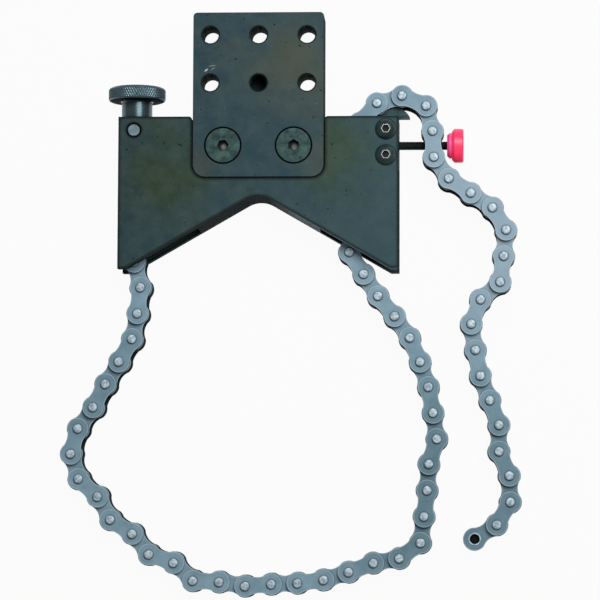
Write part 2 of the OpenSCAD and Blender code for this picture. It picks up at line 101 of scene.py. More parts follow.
def oxide_steel(name, cool, warm, patches, left_dark, edge_reach):
    """Black oxide on steel: a cool tint that turns warm in soft patches and darkens towards the left,
    mottling, pits and pale specks, and painted shade on edges, corners and milled upright sides, which are
    also rougher.
    A patch is its centre in plan, its reach and the share of warm tint in its middle. The cutter's marks and
    the grain are finer on real steel, and are drawn at 1.1 and 0.5 mm so that they show."""
    material, tree, shader, place = empty_material(name)
    at = (place, "Object")
    spot = add(tree, "ShaderNodeSeparateXYZ", {}, {0: at})
    plan = add(tree, "ShaderNodeCombineXYZ", {}, {"X": (spot, "X"), "Y": (spot, "Y")})
    drift = add(tree, "ShaderNodeTexNoise", {}, {"Vector": at, "Scale": per_mm(22), "Detail": 4.0})
    warmer = 0.0
    for patch_at, reach, share in patches:
        away = add(tree, "ShaderNodeVectorMath", {"operation": "DISTANCE"}, {0: (plan, 0), 1: (*patch_at, 0)})
        wander = add(tree, "ShaderNodeMath", {"operation": "MULTIPLY_ADD"},
                     {0: (drift, "Fac"), 1: 2.0 * reach, 2: (away, "Value")})
        soft = add(tree, "ShaderNodeMapRange", {"interpolation_type": "SMOOTHSTEP"},
                   {"Value": (wander, 0), "From Min": 2.2 * reach, "From Max": 1.0 * reach, "To Max": share})
        warmest = add(tree, "ShaderNodeMath", {"operation": "MAXIMUM"}, {0: warmer, 1: (soft, 0)})
        warmer = (warmest, 0)
    tint = add(tree, "ShaderNodeMix", {"data_type": "RGBA"}, {0: warmer, 6: cool, 7: warm})
    # Darker towards the left.
    left_reach = 0.065
    leftward = add(tree, "ShaderNodeMapRange", {},
                {"Value": (spot, "X"), "From Min": left_reach, "From Max": -left_reach, "To Max": left_dark})
    tint = add(tree, "ShaderNodeMix", {"data_type": "RGBA"},
               {0: (leftward, 0), 6: (tint, 2), 7: colour("#0d1412")})
    cloud = add(tree, "ShaderNodeTexNoise", {},
                {"Vector": at, "Scale": per_mm(7), "Detail": 5.0, "Roughness": 0.62})
    mottle = add(tree, "ShaderNodeMapRange", {},
                 {"Value": (cloud, "Fac"), "From Min": 0.35, "From Max": 0.68, "To Max": 0.30})
    tint = add(tree, "ShaderNodeMix", {"data_type": "RGBA"},
               {0: (mottle, 0), 6: (tint, 2), 7: colour("#52635e")})
    speck = add(tree, "ShaderNodeTexNoise", {}, {"Vector": at, "Scale": per_mm(2.2), "Detail": 2.0})
    pale = add(tree, "ShaderNodeMapRange", {},
               {"Value": (speck, "Fac"), "From Min": 0.70, "From Max": 0.80, "To Max": 0.25})
    pit = add(tree, "ShaderNodeMapRange", {},
              {"Value": (speck, "Fac"), "From Min": 0.30, "From Max": 0.24, "To Max": 0.80})
    tint = add(tree, "ShaderNodeMix", {"data_type": "RGBA"},
               {0: (pale, 0), 6: (tint, 2), 7: colour("#7c8a88")})
    tint = add(tree, "ShaderNodeMix", {"data_type": "RGBA"},
               {0: (pit, 0), 6: (tint, 2), 7: colour("#0c1213")})
    # Painted shade darkens the edges.
    turn = add(tree, "ShaderNodeBevel", {"samples": 6}, {"Radius": edge_reach})
    flat = add(tree, "ShaderNodeNewGeometry", {}, {})
    agree = add(tree, "ShaderNodeVectorMath", {"operation": "DOT_PRODUCT"},
                {0: (turn, "Normal"), 1: (flat, "Normal")})
    edge = add(tree, "ShaderNodeMapRange", {},
               {"Value": (agree, "Value"), "From Min": 0.992, "From Max": 0.92, "To Max": 0.95})
    tint = add(tree, "ShaderNodeMix", {"data_type": "RGBA"},
               {0: (edge, 0), 6: (tint, 2), 7: colour("#080b0c")})
    # Painted shade darkens the upright faces, which also carry the cutter's marks.
    faces = add(tree, "ShaderNodeSeparateXYZ", {}, {0: (flat, "Normal")})
    level = add(tree, "ShaderNodeMath", {"operation": "ABSOLUTE"}, {0: (faces, "Z")})
    lengthwise = add(tree, "ShaderNodeMapping", {}, {"Vector": at, "Scale": (0.05, 0.05, 1.0)})
    cutter = add(tree, "ShaderNodeTexNoise", {},
                 {"Vector": (lengthwise, 0), "Scale": per_mm(1.1), "Detail": 3.0})
    marks = add(tree, "ShaderNodeMapRange", {},
                {"Value": (cutter, "Fac"), "From Min": 0.35, "From Max": 0.65,
                 "To Min": 0.78, "To Max": 0.60})
    milled = add(tree, "ShaderNodeMapRange", {},
                 {"Value": (level, 0), "From Min": 0.85, "From Max": 0.4, "To Max": (marks, 0)})
    tint = add(tree, "ShaderNodeMix", {"data_type": "RGBA"},
               {0: (milled, 0), 6: (tint, 2), 7: colour("#0e1213")})
    # Painted shade darkens corners and creases.
    corner = add(tree, "ShaderNodeAmbientOcclusion", {"samples": 6}, {"Distance": 0.0016})
    painted_shade = add(tree, "ShaderNodeMapRange", {},
               {"Value": (corner, "AO"), "From Min": 0.75, "From Max": 0.35, "To Max": 0.95})
    tint = add(tree, "ShaderNodeMix", {"data_type": "RGBA"},
               {0: (painted_shade, 0), 6: (tint, 2), 7: colour("#040606")})
    grain = add(tree, "ShaderNodeTexNoise", {}, {"Vector": at, "Scale": per_mm(0.5), "Detail": 3.0})
    gloss = add(tree, "ShaderNodeMapRange", {},
                {"Value": (grain, "Fac"), "From Min": 0.3, "From Max": 0.7, "To Min": 0.46, "To Max": 0.60})
    gloss = add(tree, "ShaderNodeMath", {"operation": "MULTIPLY_ADD", "use_clamp": True},
                {0: (milled, 0), 1: 0.45, 2: (gloss, 0)})
    bump = add(tree, "ShaderNodeBump", {}, {"Height": (grain, "Fac"), "Strength": 0.08, "Distance": 0.0002})
    tree.links.new(tint.outputs[2], shader.inputs["Base Color"])
    tree.links.new(gloss.outputs[0], shader.inputs["Roughness"])
    tree.links.new(bump.outputs[0], shader.inputs["Normal"])
    shader.inputs["Specular IOR Level"].default_value = 0.08
    return material, tree, shader, place


def dress(node, material):
    """A CAD node takes one material on all its slots."""
    held = frame["nodes"][node].data.materials
    held.clear()
    held.append(material)


def ease_edges(node, width):
    """Rounds a CAD node's sharp edges by a width in mm, as deburring does, without touching its mesh."""
    shape = frame["nodes"][node]
    weld = shape.modifiers.new("join faces", "WELD")
    weld.merge_threshold = 1e-6
    bevel = shape.modifiers.new("deburr", "BEVEL")
    bevel.width = width / 1000
    bevel.segments = 2
    bevel.limit_method = "ANGLE"
    bevel.angle_limit = math.radians(40)
    even = shape.modifiers.new("even shading", "WEIGHTED_NORMAL")
    even.weight = 80


block_patches = [((-0.044, 0.010), 0.034, 0.92), ((0.035, 0.020), 0.024, 0.75)]
block_steel, tree, shader, place = oxide_steel(
    "black_oxide_tool_steel", cool=colour("#344e56"), warm=colour("#3a4c33"), patches=block_patches,
    left_dark=0.40, edge_reach=0.0030)

# A pale, scraped-looking patch of painted light lies on the V's right face, which looks down and left, from a
# little below its root.
v_right_way = (-0.46, -0.888, 0.0)
flat = add(tree, "ShaderNodeNewGeometry", {}, {})
facing = add(tree, "ShaderNodeVectorMath", {"operation": "DOT_PRODUCT"},
             {0: (flat, "Normal"), 1: v_right_way})
v_right = add(tree, "ShaderNodeMapRange", {},
              {"Value": (facing, "Value"), "From Min": 0.85, "From Max": 0.95})
spot = add(tree, "ShaderNodeSeparateXYZ", {}, {0: (place, "Object")})
below_root = add(tree, "ShaderNodeMapRange", {},
                 {"Value": (spot, "X"), "From Min": 0.005, "From Max": 0.018, "To Max": 0.95})
v_patch_noise = add(tree, "ShaderNodeTexNoise", {}, {"Vector": (place, "Object"), "Scale": per_mm(3), "Detail": 3.0})
uneven = add(tree, "ShaderNodeMapRange", {},
             {"Value": (v_patch_noise, "Fac"), "From Min": 0.3, "From Max": 0.6, "To Min": 0.4, "To Max": 1.0})
rubbed = add(tree, "ShaderNodeMath", {"operation": "MULTIPLY"}, {0: (v_right, 0), 1: (below_root, 0)})
rubbed = add(tree, "ShaderNodeMath", {"operation": "MULTIPLY"}, {0: (rubbed, 0), 1: (uneven, 0)})
oxide = shader.inputs["Base Color"].links[0].from_node
v_face_painted_light = add(tree, "ShaderNodeMix", {"data_type": "RGBA"},
               {0: (rubbed, 0), 6: (oxide, 2), 7: colour("#b4c2cc")})
tree.links.new(v_face_painted_light.outputs[2], shader.inputs["Base Color"])
dress("v_block", block_steel)
ease_edges("v_block", 0.35)


# Adapter plate.
# A ground steel plate let into the block and held by two screws, with six tapped holes for whatever
# the clamp carries. Its oxide is bluer and a little paler, and one knock has left a white scuff.

plate_low, plate_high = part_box("adapter_plate")
plate_patches = [((0.012, 0.064), 0.032, 0.70), ((-0.029, 0.015), 0.012, 0.50), ((0.029, 0.018), 0.014, 0.45)]
plate_steel, tree, shader, place = oxide_steel(
    "black_oxide_ground_steel", cool=colour("#2f4852"), warm=colour("#525645"), patches=plate_patches,
    left_dark=0.26, edge_reach=0.0006)

# A stroke of the scuff is its centre in plan, its turn in degrees, its half length and half width, and the
# share of bare metal in its middle.
strokes = [((-0.0254, 0.0597), 38, 0.0011, 0.00042, 0.85),
           ((-0.0226, 0.0618), 8, 0.0020, 0.00020, 0.4),
           ((-0.0222, 0.0604), 33, 0.0014, 0.00018, 0.4)]
bare = 0.0
for stroke_at, stroke_turn, half_long, half_wide, share in strokes:
    along = add(tree, "ShaderNodeMapping", {"vector_type": "TEXTURE"},
                {"Vector": (place, "Object"), "Location": (*stroke_at, plate_high.z),
                 "Rotation": (0, 0, math.radians(stroke_turn)), "Scale": (half_long, half_wide, 0.01)})
    out = add(tree, "ShaderNodeVectorMath", {"operation": "LENGTH"}, {0: (along, 0)})
    mark = add(tree, "ShaderNodeMapRange", {},
               {"Value": (out, "Value"), "From Min": 1.2, "From Max": 0.4, "To Max": share})
    barest = add(tree, "ShaderNodeMath", {"operation": "MAXIMUM"}, {0: bare, 1: (mark, 0)})
    bare = (barest, 0)
oxide = shader.inputs["Base Color"].links[0].from_node
scuffed = add(tree, "ShaderNodeMix", {"data_type": "RGBA"}, {0: bare, 6: (oxide, 2), 7: colour("#cfd8d9")})
tree.links.new(scuffed.outputs[2], shader.inputs["Base Color"])
dress("adapter_plate", plate_steel)
ease_edges("adapter_plate", 0.3)


# Threads in the six fixing holes.
# Each hole is tapped, so its wall is a helix of sharp ridges that catch the light as thin rings.
# The lower middle hole is blind, and the other five go through the plate.

def surface(name, sheets, wrap_rows=False):
    """A mesh from grids of points shaped (sheets, rows, columns, 3). Columns run round and close on the
    first one, rows run along the profile and close where asked. Poles and seams are merged."""
    index = np.arange(sheets[..., 0].size).reshape(sheets.shape[:3])
    index = np.concatenate([index, index[:, :, :1]], axis=2)
    if wrap_rows:
        index = np.concatenate([index, index[:, :1]], axis=1)
    quads = np.stack([index[:, :-1, :-1], index[:, :-1, 1:], index[:, 1:, 1:], index[:, 1:, :-1]], axis=-1)
    mesh = bpy.data.meshes.new(name)
    mesh.from_pydata(sheets.reshape(-1, 3).tolist(), [], quads.reshape(-1, 4).tolist())
    work = bmesh.new()
    work.from_mesh(mesh)
    bmesh.ops.remove_doubles(work, verts=work.verts, dist=1e-7)
    bmesh.ops.recalc_face_normals(work, faces=work.faces)
    work.to_mesh(mesh)
    work.free()
    mesh.polygons.foreach_set("use_smooth", np.ones(len(mesh.polygons), dtype=bool))
    mesh.set_sharp_from_angle(angle=math.radians(38))
    piece = bpy.data.objects.new(name, mesh)
    bpy.context.scene.collection.objects.link(piece)
    return piece


def turned(radius, height, steps):
    """A surface of revolution: x = r cos t, y = r sin t, z = h, with t round the axis. Radius and height
    are one value per row, or a whole (rows, steps) array of radii where the surface isn't round."""
    t = np.linspace(0, 2 * np.pi, steps, endpoint=False)
    r = np.asarray(radius, float)
    r = r if r.ndim == 2 else r[:, None]
    h = np.asarray(height, float)[:, None] + 0 * t
    return np.stack([r * np.cos(t), r * np.sin(t), h], axis=-1)


def round_rows(radii, steps):
    """Rows of a turned profile, each radius repeated all the way round."""
    return np.repeat(np.array(radii, float)[:, None], steps, axis=1)


def thread_radius(height, steps, root, crest, lead):
    """Radius of a right-hand thread: a triangle wave in height / lead less the share of a turn, which
    rises from the root to the crest once per lead."""
    t = np.linspace(0, 1, steps, endpoint=False)
    wave = 2 * np.abs((height[:, None] / lead - t) % 1 - 0.5)
    return root + (crest - root) * wave


def patchy_finish(name, patch, detail, dark, light, rough, shine, metallic=0.0):
    """A thin finish of one gloss, whose tint wanders between dark and light in patches of that size in mm."""
    material, tree, shader, place = empty_material(name)
    cloud = add(tree, "ShaderNodeTexNoise", {},
                {"Vector": (place, "Object"), "Scale": per_mm(patch), "Detail": detail})
    tint = add(tree, "ShaderNodeMix", {"data_type": "RGBA"},
               {0: (cloud, "Fac"), 6: colour(dark), 7: colour(light)})
    tree.links.new(tint.outputs[2], shader.inputs["Base Color"])
    shader.inputs["Roughness"].default_value = rough
    shader.inputs["Specular IOR Level"].default_value = shine
    shader.inputs["Metallic"].default_value = metallic
    return material


mounts = {mount["name"]: mount for mount in frame["record"]["mounts"]}
corners = mounts["fixing_corners"]
hole_r = corners["dims"]["hole_r_mm"] / 1000
half_pitch = np.array([corners["dims"]["spacing_x_mm"], corners["dims"]["spacing_y_mm"]]) / 2000
signs = ((-1, 1), (1, 1), (-1, -1), (1, -1))
corner_holes = [np.array(corners["pos_m"][:2]) + half_pitch * sign for sign in signs]
upper_middle = np.array(mounts["fixing_upper_middle"]["pos_m"][:2])
lower_middle = np.array(mounts["fixing_lower_middle"]["pos_m"][:2])
blind_depth = mounts["fixing_lower_middle"]["dims"]["length_mm"] / 1000
tap_lead, tap_steps = 0.0015, 40
groove_r, ridge_r = hole_r - 0.00005, hole_r - 0.0003
mouth_wide, mouth_deep = 0.00033, 0.00062
sliver = 0.000015


def tapped(bottom, top, floor):
    """A thin sleeve with a threaded inside and a countersunk mouth, whose outer wall lies just inside the
    hole's wall. A blind hole's sleeve also has a floor, where the first radius of both walls is nought."""
    rows = np.arange(bottom + mouth_deep, top - mouth_deep, tap_lead / 6)
    thread = thread_radius(rows, tap_steps, groove_r, ridge_r, tap_lead)
    foot = [(0.0, bottom + 2 * sliver)] if floor else []
    foot = np.array(foot + [(ridge_r, bottom + 2 * sliver)])
    back = [(ridge_r, top - mouth_deep), (hole_r + mouth_wide - 2 * sliver, top - sliver),
            (hole_r + mouth_wide - sliver, top - sliver), (hole_r - sliver, top - mouth_wide - sliver),
            (hole_r - sliver, bottom + sliver)]
    back = np.array(back + ([(0.0, bottom + sliver)] if floor else []))
    radii = np.vstack([round_rows(foot[:, 0], tap_steps), thread, round_rows(back[:, 0], tap_steps)])
    return turned(radii, np.concatenate([foot[:, 1], rows, back[:, 1]]), tap_steps)


through = tapped(plate_low.z, plate_high.z, False)
sheets = np.stack([through + np.append(at, 0) for at in corner_holes + [upper_middle]])
through_threads = surface("through_hole_threads", sheets, wrap_rows=True)
sheets = tapped(plate_high.z - blind_depth, plate_high.z, True) + np.append(lower_middle, 0)
blind_threads = surface("blind_hole_threads", sheets[None], wrap_rows=True)

# Cut, oiled steel, dull and near black: its dark tone is also painted shade for the inside of the holes.
tapped_steel = patchy_finish("cut_thread_steel", patch=2.5, detail=2.0, dark="#121c1b", light="#2b3a37",
                             rough=0.6, shine=0.06)
for piece in (through_threads, blind_threads):
    piece.data.materials.append(tapped_steel)
    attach(piece, "block")


# Socket screws.
# Two countersunk screws hold the plate, and two button heads hold the chain guide: alloy steel, cold
# headed, with a hexagon punched in. The heads are smoother than the milled faces round them.

def screw_steel(name, base, worn, gloss, shine):
    """Black oxide on a cold-headed screw: two tints in small clouds, corners darkened near black as painted
    shade, and a gloss that is smoother than the block's."""
    material, tree, shader, place = empty_material(name)
    cloud = add(tree, "ShaderNodeTexNoise", {},
                {"Vector": (place, "Object"), "Scale": per_mm(5), "Detail": 4.0, "Roughness": 0.6})
    patch = add(tree, "ShaderNodeMapRange", {},
                {"Value": (cloud, "Fac"), "From Min": 0.36, "From Max": 0.62})
    tint = add(tree, "ShaderNodeMix", {"data_type": "RGBA"}, {0: (patch, 0), 6: base, 7: worn})
    # Painted shade darkens the corners.
    corner = add(tree, "ShaderNodeAmbientOcclusion", {"samples": 6}, {"Distance": 0.0014})
    painted_shade = add(tree, "ShaderNodeMapRange", {},
               {"Value": (corner, "AO"), "From Min": 0.75, "From Max": 0.35, "To Max": 0.95})
    tint = add(tree, "ShaderNodeMix", {"data_type": "RGBA"},
               {0: (painted_shade, 0), 6: (tint, 2), 7: colour("#040606")})
    rough = add(tree, "ShaderNodeMapRange", {},
                {"Value": (cloud, "Fac"), "To Min": gloss - 0.06, "To Max": gloss + 0.1})
    tree.links.new(tint.outputs[2], shader.inputs["Base Color"])
    tree.links.new(rough.outputs[0], shader.inputs["Roughness"])
    shader.inputs["Specular IOR Level"].default_value = shine
    return material


csk_steel = screw_steel("black_countersunk_screws", base=colour("#1d3036"), worn=colour("#42605a"),
                        gloss=0.42, shine=0.12)
button_steel = screw_steel("black_button_screws", base=colour("#1a2a2a"), worn=colour("#2b3f3d"),
                           gloss=0.30, shine=0.5)
dress("plate_screws", csk_steel)
dress("guide_screws", button_steel)
ease_edges("plate_screws", 0.2)
ease_edges("guide_screws", 0.15)


# Hexagon sockets.
# Each socket is punched, and a dark cup set in it is painted shade; its floor is a shallow cone with a paler
# spot of painted light on it. The mouths in the button heads carry a bright hexagonal ring of rubbed steel
# with a painted highlight.

def socket_cup(flats, mouth, depth, turn):
    """A hexagonal cup from z = -mouth to -depth: six-sided rows at the wall's top and foot and at the cone's
    foot, then the same again a hair outside and below, which closes the shell."""
    corner = flats / 2 / math.cos(math.pi / 6) - 0.00003
    inner, outer = [corner - 0.00004, corner - 0.00004, 0.0], [0.0, corner, corner]
    foot = np.array([0.30, 0.06, 0.02, 0.02]) / 1000 - depth
    cup = turned(inner + outer, [-mouth, *foot, -mouth], 6)
    c, s = math.cos(turn), math.sin(turn)
    return cup @ np.array([[c, s, 0], [-s, c, 0], [0, 0, 1]])


screw_low, screw_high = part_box("guide_screws")
csk_low, csk_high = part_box("plate_screws")
button_r = (screw_high.x - screw_low.x) / 2
button_x = (screw_high.x + screw_low.x) / 2
csk_r = (csk_high.y - csk_low.y) / 2
csk_y = (csk_low.y + csk_high.y) / 2
button_spots = [(button_x, screw_low.y + button_r), (button_x, screw_high.y - button_r)]
csk_spots = [(csk_low.x + csk_r, csk_y), (csk_high.x - csk_r, csk_y)]
csk_turns = [math.radians(6), math.radians(30)]
button_cups = [socket_cup(flats=0.004, mouth=0.0008, depth=0.0018, turn=0) + (*at, screw_high.z)
               for at in button_spots]
csk_cups = [socket_cup(flats=0.005, mouth=0.0001, depth=0.00275, turn=turn) + (*at, csk_high.z)
            for at, turn in zip(csk_spots, csk_turns)]

# The cups are painted near black as the shade inside the sockets. A paler spot of painted light lies on each
# floor a little right of and below its centre.
lit_spot_dx, lit_spot_dy = 0.0005, -0.0006
for name, shells, floors, floor_tint in (("button_socket_cups", button_cups, button_spots, "#2a3230"),
                                         ("plate_socket_cups", csk_cups, csk_spots, "#8d9892")):
    cups = surface(name, np.stack(shells), wrap_rows=True)
    socket_shade_and_light, tree, shader, place = empty_material("socket_shade_and_light_" + name)
    spot_patchiness = add(tree, "ShaderNodeTexNoise", {},
                {"Vector": (place, "Object"), "Scale": per_mm(1.8), "Detail": 2.0})
    spot = add(tree, "ShaderNodeSeparateXYZ", {}, {0: (place, "Object")})
    plan = add(tree, "ShaderNodeCombineXYZ", {}, {"X": (spot, "X"), "Y": (spot, "Y")})
    lit_spot = 0.0
    for x, y in floors:
        away = add(tree, "ShaderNodeVectorMath", {"operation": "DISTANCE"},
                   {0: (plan, 0), 1: (x + lit_spot_dx, y + lit_spot_dy, 0)})
        mark = add(tree, "ShaderNodeMapRange", {},
                   {"Value": (away, "Value"), "From Min": 0.0020, "From Max": 0.0007})
        most = add(tree, "ShaderNodeMath", {"operation": "MAXIMUM"}, {0: lit_spot, 1: (mark, 0)})
        lit_spot = (most, 0)
    worn = add(tree, "ShaderNodeMath", {"operation": "MULTIPLY"}, {0: lit_spot, 1: (spot_patchiness, "Fac")})
    tint = add(tree, "ShaderNodeMix", {"data_type": "RGBA"},
               {0: (worn, 0), 6: colour("#020303"), 7: colour(floor_tint)})
    tree.links.new(tint.outputs[2], shader.inputs["Base Color"])
    shader.inputs["Roughness"].default_value = 0.45
    shader.inputs["Specular IOR Level"].default_value = 0.1
    cups.data.materials.append(socket_shade_and_light)
    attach(cups, "block")

# A dull black bead fills the gap round each countersunk head and dowel, level with the faces on either side,
# as painted shade for the gap. Its profile is one low arch over the gap with a foot inside it.
dowel_low, dowel_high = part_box("trunnion_pins")
dowel_r = (dowel_high.x - dowel_low.x) / 2
dowel_at = (dowel_low.x + dowel_r, dowel_low.y + dowel_r, dowel_high.z)
gaps = [((*at, csk_high.z), csk_r - 0.0002, csk_r + 0.00066) for at in csk_spots]
gaps += [(dowel_at, dowel_r - 0.00005, dowel_r + 0.0006)]
bead_z = np.array([0.012, 0.03, 0.012, -0.3, -0.3]) / 1000
beads = [turned([inner, (inner + outer) / 2, outer, outer - 0.0002, inner + 0.0002], bead_z, 64) + at
         for at, inner, outer in gaps]
gap_shade = surface("painted_shade_in_the_gaps", np.stack(beads), wrap_rows=True)
gap_shade_finish = patchy_finish("painted_gap_shade", patch=1.2, detail=3.0, dark="#020404", light="#080e10",
                        rough=0.7, shine=0.01)
gap_shade.data.materials.append(gap_shade_finish)
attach(gap_shade, "block")

# A ring's profile runs from the socket's wall over the rubbed lip to the dome and back underneath. Rows less
# than 2 mm from the axis are hexagons: r / cos of the angle from the nearest flat's middle.
ring_steps = 48
round_t = np.linspace(0, 2 * np.pi, ring_steps, endpoint=False)
hex_edge = 1 / np.cos(round_t % (np.pi / 3) - np.pi / 6)
ring_r = np.array([1.64, 1.70, 2.10, 2.36, 2.40, 2.40, 1.64])[:, None] / 1000
ring_r = ring_r * np.where(ring_r < 0.002, hex_edge, 1.0)
ring_z = np.array([-0.95, -0.34, -0.34, -0.45, -0.50, -0.80, -1.15])[:, None] / 1000
ring_z = ring_z + screw_high.z + 0 * round_t
ring = np.stack([ring_r * np.cos(round_t), ring_r * np.sin(round_t), ring_z], axis=-1)
rings = surface("socket_mouths", np.stack([ring + (*at, 0) for at in button_spots]), wrap_rows=True)

# Bare, rubbed steel with a painted highlight, bright in patches and grey between them.
rubbed_and_highlit_steel = patchy_finish("rubbed_steel_painted_highlight", patch=0.9, detail=3.0, dark="#7d888a", light="#f0f4f4",
                             rough=0.35, shine=0.5, metallic=0.1)
rings.data.materials.append(rubbed_and_highlit_steel)
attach(rings, "block")


# Chain guide, trunnion and dowels.
# The guide is milled from bar and blackened, and painted shade darkens its upright sides further. The
# trunnion is milled and left bright, and the two dowels are ground to a plain grey and pressed into the
# block.

def bar_steel(name, dark, light, gloss, metallic, side_shade):
    """Worked bar: parallel tool marks across Y over a soft cloud of two greys. The last argument is the share
    of near black painted shade on upright faces. Real marks are finer, and are drawn at 0.7 mm so that they
    show."""
    material, tree, shader, place = empty_material(name)
    cloud = add(tree, "ShaderNodeTexNoise", {},
                {"Vector": (place, "Object"), "Scale": per_mm(6), "Detail": 3.0})
    along = add(tree, "ShaderNodeMapping", {}, {"Vector": (place, "Object"), "Scale": (0.08, 1.0, 0.08)})
    marks = add(tree, "ShaderNodeTexNoise", {}, {"Vector": (along, 0), "Scale": per_mm(0.7), "Detail": 2.0})
    blend = add(tree, "ShaderNodeMath", {"operation": "MULTIPLY"}, {0: (cloud, "Fac"), 1: (marks, "Fac")})
    share = add(tree, "ShaderNodeMapRange", {},
                {"Value": (blend, 0), "From Min": 0.14, "From Max": 0.36})
    tint = add(tree, "ShaderNodeMix", {"data_type": "RGBA"}, {0: (share, 0), 6: dark, 7: light})
    # Painted shade darkens the upright faces.
    flat = add(tree, "ShaderNodeNewGeometry", {}, {})
    faces = add(tree, "ShaderNodeSeparateXYZ", {}, {0: (flat, "Normal")})
    level = add(tree, "ShaderNodeMath", {"operation": "ABSOLUTE"}, {0: (faces, "Z")})
    black = add(tree, "ShaderNodeMapRange", {},
                {"Value": (level, 0), "From Min": 0.7, "From Max": 0.3, "To Max": side_shade})
    tint = add(tree, "ShaderNodeMix", {"data_type": "RGBA"},
               {0: (black, 0), 6: (tint, 2), 7: colour("#07090a")})
    bump = add(tree, "ShaderNodeBump", {}, {"Height": (marks, "Fac"), "Strength": 0.12, "Distance": 0.0002})
    tree.links.new(tint.outputs[2], shader.inputs["Base Color"])
    tree.links.new(bump.outputs[0], shader.inputs["Normal"])
    shader.inputs["Metallic"].default_value = metallic
    shader.inputs["Roughness"].default_value = gloss
    shader.inputs["Specular IOR Level"].default_value = 0.12
    return material


guide_steel = bar_steel("blackened_bar_steel", dark=colour("#20363a"), light=colour("#3e595d"),
                        gloss=0.5, metallic=0.05, side_shade=0.85)
trunnion_steel = bar_steel("milled_bar_steel", dark=colour("#9cabb0"), light=colour("#c6d1d4"),
                           gloss=0.4, metallic=0.2, side_shade=0)
dowel_steel = bar_steel("ground_dowel_steel", dark=colour("#60757d"), light=colour("#8096a0"),
                        gloss=0.45, metallic=0.1, side_shade=0)
dress("chain_guide", guide_steel)
dress("trunnion", trunnion_steel)
dress("trunnion_pins", dowel_steel)
ease_edges("chain_guide", 0.25)
ease_edges("trunnion", 0.25)


# Knurled nut.
# Turned from bar: a plain neck that stands on the trunnion, and a head whose rim is rolled with a
# diamond knurl for the fingers. The rim and neck are bright, and the flat faces are painted near black as
# shade.

nut_low, nut_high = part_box("tension_nut")
rod_x = (nut_low.x + nut_high.x) / 2
mid_z = (nut_low.z + nut_high.z) / 2
rim_r = (nut_high.x - nut_low.x) / 2
nut_h = nut_high.y - nut_low.y
neck_r, neck_h, bore_r = 0.0075, 0.0086, 0.00406
chamfer, bore_mouth = 0.0006, 0.0007
rim_low, rim_high = neck_h + 0.0012, nut_h - 0.0012

# A real rim has more and finer diamonds. It is drawn with 72 round, so that they show.
diamonds_round, diamond_h, knurl_depth = 72, 0.0012, 0.00034
nut_steps = diamonds_round * 8


def knurl(height, steps):
    """Depth of a diamond knurl: two sets of helical V grooves cross, and a point sinks by the greater of two
    triangle waves, in turns * diamonds plus and minus half of height / diamond height, to the power 1.3."""
    turns = np.linspace(0, diamonds_round, steps, endpoint=False)
    rise = height[:, None] / diamond_h
    waves = [np.abs((turns + sign * rise) % 1 - 0.5) for sign in (-0.5, 0.5)]
    return knurl_depth * 2 * np.maximum(waves[0], waves[1]) ** 1.3


plain = np.array([
    (bore_r, chamfer), (bore_r + bore_mouth, 0), (neck_r - chamfer, 0), (neck_r, chamfer), (neck_r, 0.0009),
    (neck_r, neck_h - 0.0009), (neck_r, neck_h - 0.0007), (neck_r + 0.0005, neck_h),
    (rim_r - 0.0016, neck_h), (rim_r - chamfer, neck_h + 0.0004)])
crown = np.array([
    (rim_r - chamfer, nut_h - 0.0004), (rim_r - 0.0016, nut_h), (bore_r + bore_mouth, nut_h),
    (bore_r, nut_h - chamfer)])
rim_rows = np.linspace(rim_low, rim_high, 49)
rim = rim_r - knurl(rim_rows, nut_steps)
heights = np.concatenate([plain[:, 1], rim_rows, crown[:, 1]])
radii = np.vstack([round_rows(plain[:, 0], nut_steps), rim, round_rows(crown[:, 0], nut_steps)])
nut = np.roll(turned(radii, heights, nut_steps), 2, axis=-1) + (rod_x, nut_low.y, mid_z)
knurled_nut = surface("knurled_nut", nut[None], wrap_rows=True)

# Turned steel that fingers polish, with painted shade, near black, where the head shelters the neck. The
# turning rings are finer on a real nut, and are drawn at 0.5 mm.
nut_steel, tree, shader, place = empty_material("turned_nut_steel")
ringwise = add(tree, "ShaderNodeMapping", {}, {"Vector": (place, "Object"), "Scale": (0.05, 1.0, 0.05)})
turning = add(tree, "ShaderNodeTexNoise", {}, {"Vector": (ringwise, 0), "Scale": per_mm(0.5), "Detail": 2.0})
rubbed = add(tree, "ShaderNodeTexNoise", {}, {"Vector": (place, "Object"), "Scale": per_mm(5), "Detail": 3.0})
tint = add(tree, "ShaderNodeMix", {"data_type": "RGBA"},
           {0: (rubbed, "Fac"), 6: colour("#41565d"), 7: colour("#667e87")})
shelter = add(tree, "ShaderNodeAmbientOcclusion", {"samples": 8}, {"Distance": 0.012})
painted_shade_under_head = add(tree, "ShaderNodeMapRange", {},
            {"Value": (shelter, "AO"), "From Min": 0.80, "From Max": 0.35, "To Max": 0.9})
tint = add(tree, "ShaderNodeMix", {"data_type": "RGBA"}, {0: (painted_shade_under_head, 0), 6: (tint, 2), 7: colour("#060809")})
bump = add(tree, "ShaderNodeBump", {}, {"Height": (turning, "Fac"), "Strength": 0.05, "Distance": 0.0002})
tree.links.new(tint.outputs[2], shader.inputs["Base Color"])
tree.links.new(bump.outputs[0], shader.inputs["Normal"])
shader.inputs["Metallic"].default_value = 0.6
shader.inputs["Roughness"].default_value = 0.25
shader.inputs["Specular IOR Level"].default_value = 0.3

# The faces that look along the axis are painted dull and near black, as shade.
face_steel = patchy_finish("black_faced_steel", patch=5, detail=3.0, dark="#060a0c", light="#1a2529",
                           rough=0.7, shine=0.05)
knurled_nut.data.materials.append(nut_steel)
knurled_nut.data.materials.append(face_steel)
normals = np.empty(len(knurled_nut.data.polygons) * 3, np.float32)
knurled_nut.data.polygons.foreach_get("normal", normals)
faced = (np.abs(normals.reshape(-1, 3)[:, 1]) > 0.85).astype(np.int32)
knurled_nut.data.polygons.foreach_set("material_index", faced)
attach(knurled_nut, "tension_nut")
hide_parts("tension_nut")


# Draw rod.
# A length of bright threaded rod that ends in a flat eye, which takes the chain's last pin.
# The thread is rolled, and runs from the eye's shoulders to the rod's top.

